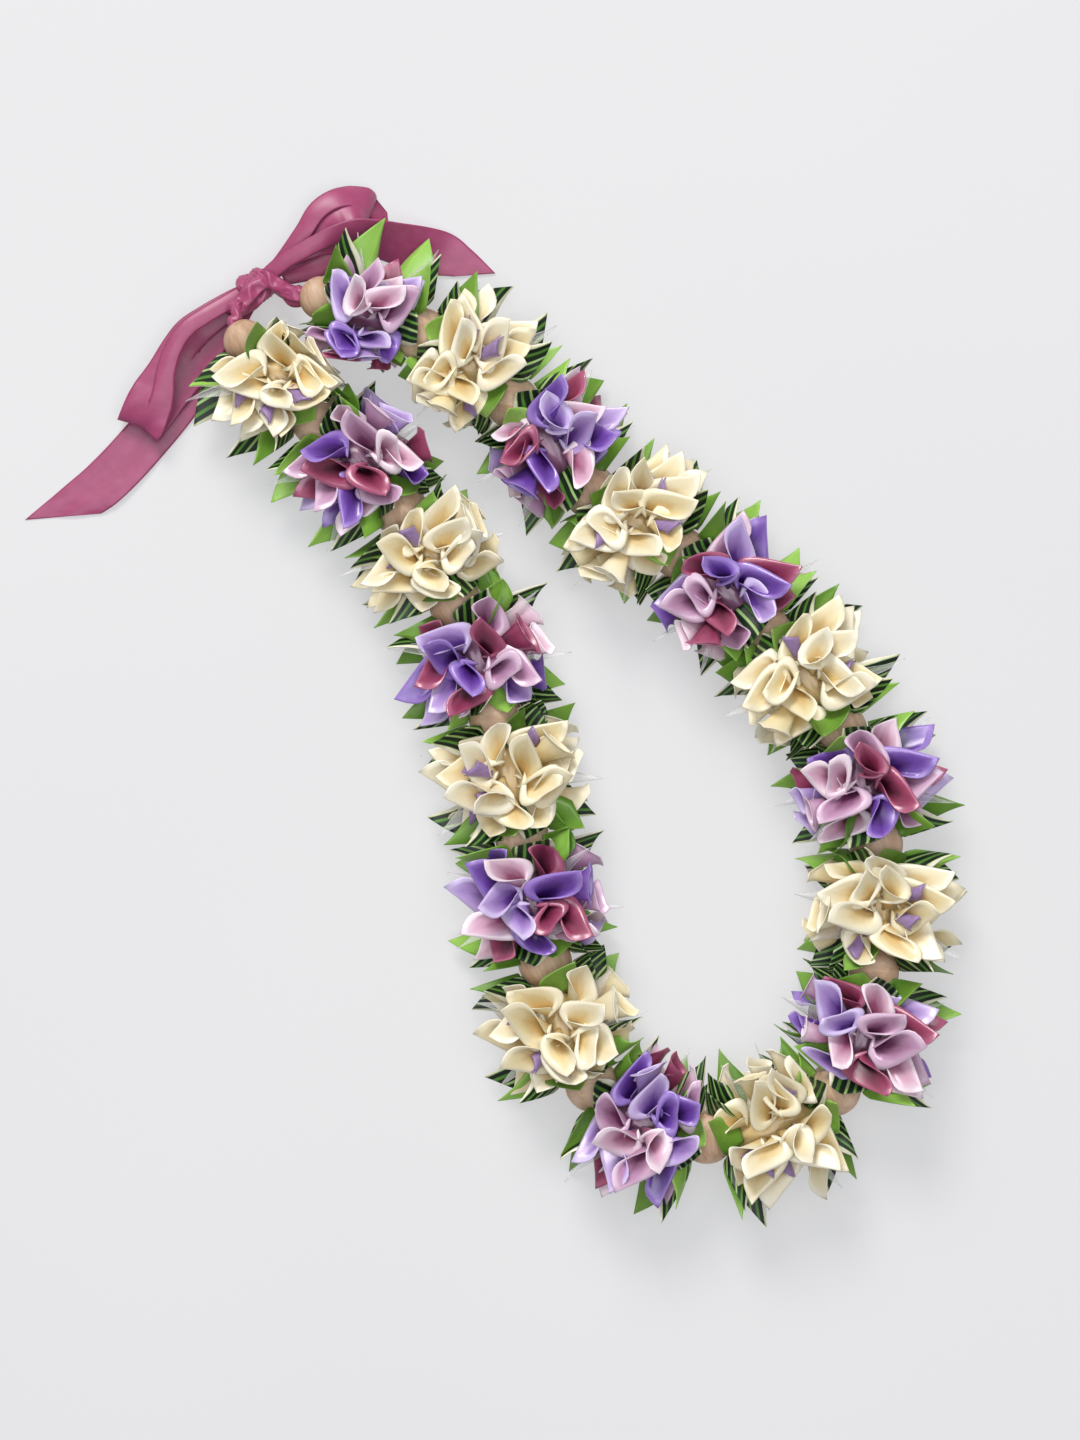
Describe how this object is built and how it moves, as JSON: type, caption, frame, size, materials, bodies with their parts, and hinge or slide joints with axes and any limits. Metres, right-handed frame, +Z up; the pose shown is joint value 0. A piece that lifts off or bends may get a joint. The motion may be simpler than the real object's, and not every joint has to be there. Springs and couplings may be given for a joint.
{
  "type": "ribbon lei",
  "caption": "Long open loop of ruffled satin ribbon flower clusters in cream and purple, with round wooden beads between them, green ribbon leaves and a rose ribbon bow at the ends.",
  "frame": {"origin": "centre of the bounding box in plan, on the surface the lei lies on", "axes": "+Z up from the surface, +Y along the longer way of the lei towards the bow, +X to the right seen from above"},
  "size_m": [0.4374, 0.4772, 0.0596],
  "materials": {
    "cream_satin": "satin",
    "violet_satin": "satin",
    "leaf_satin": "satin",
    "rose_satin": "satin",
    "wood": "matte"
  },
  "bodies": {
    "root": {"bead_01": "wood", "bead_02": "wood", "bead_03": "wood", "bead_04": "wood", "bead_05": "wood", "bead_06": "wood", "bead_07": "wood", "bead_08": "wood", "bead_09": "wood", "bead_10": "wood", "bead_11": "wood", "bead_12": "wood", "bead_13": "wood", "bead_14": "wood", "bead_15": "wood", "bead_16": "wood", "bead_17": "wood", "bead_18": "wood", "bead_19": "wood", "bloom_01": "cream_satin", "bloom_02": "violet_satin", "bloom_03": "cream_satin", "bloom_04": "violet_satin", "bloom_05": "cream_satin", "bloom_06": "violet_satin", "bloom_07": "cream_satin", "bloom_08": "violet_satin", "bloom_09": "cream_satin", "bloom_10": "violet_satin", "bloom_11": "cream_satin", "bloom_12": "violet_satin", "bloom_13": "cream_satin", "bloom_14": "violet_satin", "bloom_15": "cream_satin", "bloom_16": "violet_satin", "bloom_17": "cream_satin", "bloom_18": "violet_satin", "leaves_01": "leaf_satin", "leaves_02": "leaf_satin", "leaves_03": "leaf_satin", "leaves_04": "leaf_satin", "leaves_05": "leaf_satin", "leaves_06": "leaf_satin", "leaves_07": "leaf_satin", "leaves_08": "leaf_satin", "leaves_09": "leaf_satin", "leaves_10": "leaf_satin", "leaves_11": "leaf_satin", "leaves_12": "leaf_satin", "leaves_13": "leaf_satin", "leaves_14": "leaf_satin", "leaves_15": "leaf_satin", "leaves_16": "leaf_satin", "leaves_17": "leaf_satin", "leaves_18": "leaf_satin", "bow_knot_and_tails": "rose_satin", "bow_loop_left": "rose_satin", "bow_loop_right": "rose_satin", "stringing_ribbon": "rose_satin"}
  },
  "joints": []
}
